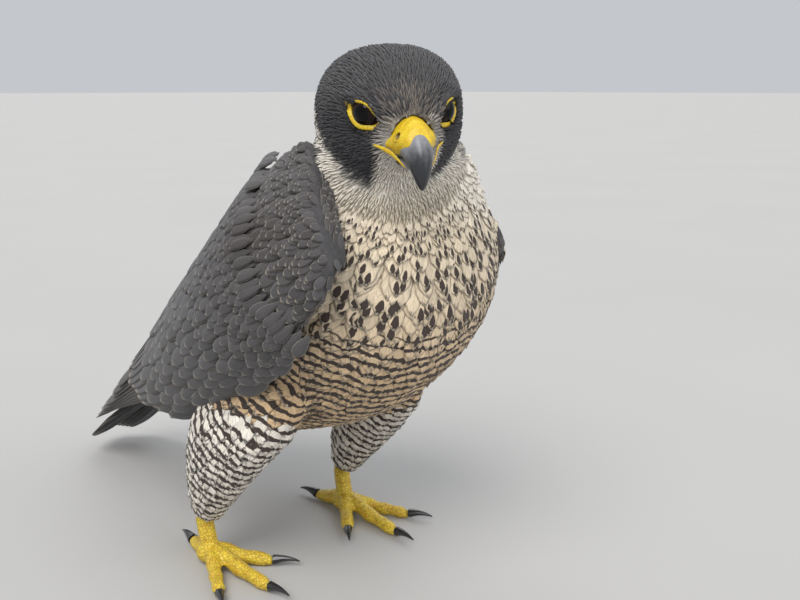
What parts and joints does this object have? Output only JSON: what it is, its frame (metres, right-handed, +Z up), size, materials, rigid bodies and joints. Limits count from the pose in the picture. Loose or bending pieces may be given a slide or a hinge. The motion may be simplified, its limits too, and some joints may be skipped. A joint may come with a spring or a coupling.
{
  "type": "peregrine falcon",
  "caption": "Life-size adult peregrine falcon standing with folded wings, the head turned to its right; a still display model.",
  "frame": {"origin": "on the floor, under the middle of the box round the bird", "axes": "+Z up, the breast faces -Y and the bird's left side is +X"},
  "size_m": [0.1552, 0.3578, 0.2648],
  "materials": {
    "hood_plumage": "short slate-brown feathers with pale flecks",
    "pale_plumage": "cream feathers with dark spots and narrow bars",
    "barred_plumage": "buff feathers, spotted above and barred below",
    "slate_plumage": "slate feathers with narrow pale edges",
    "eye": "wet, very dark brown",
    "yellow_skin": "bare yellow skin with small scales",
    "bill_horn": "blue-grey horn, darker at the tip",
    "claw_horn": "black horn"
  },
  "bodies": {
    "root": {"head": "hood_plumage", "neck": "pale_plumage", "torso": "barred_plumage", "wing_left": "slate_plumage", "wing_right": "slate_plumage", "tail": "slate_plumage", "thigh_left": "pale_plumage", "thigh_right": "pale_plumage", "eye_left": "eye", "eye_right": "eye", "eyelids_left": "yellow_skin", "eyelids_right": "yellow_skin", "cere": "yellow_skin", "bill_upper": "bill_horn", "bill_lower": "bill_horn", "tarsus_left": "yellow_skin", "tarsus_right": "yellow_skin", "foot_left": "yellow_skin", "foot_right": "yellow_skin", "claw_inner_left": "claw_horn", "claw_inner_right": "claw_horn", "claw_middle_left": "claw_horn", "claw_middle_right": "claw_horn", "claw_outer_left": "claw_horn", "claw_outer_right": "claw_horn", "claw_hind_left": "claw_horn", "claw_hind_right": "claw_horn"}
  },
  "joints": []
}
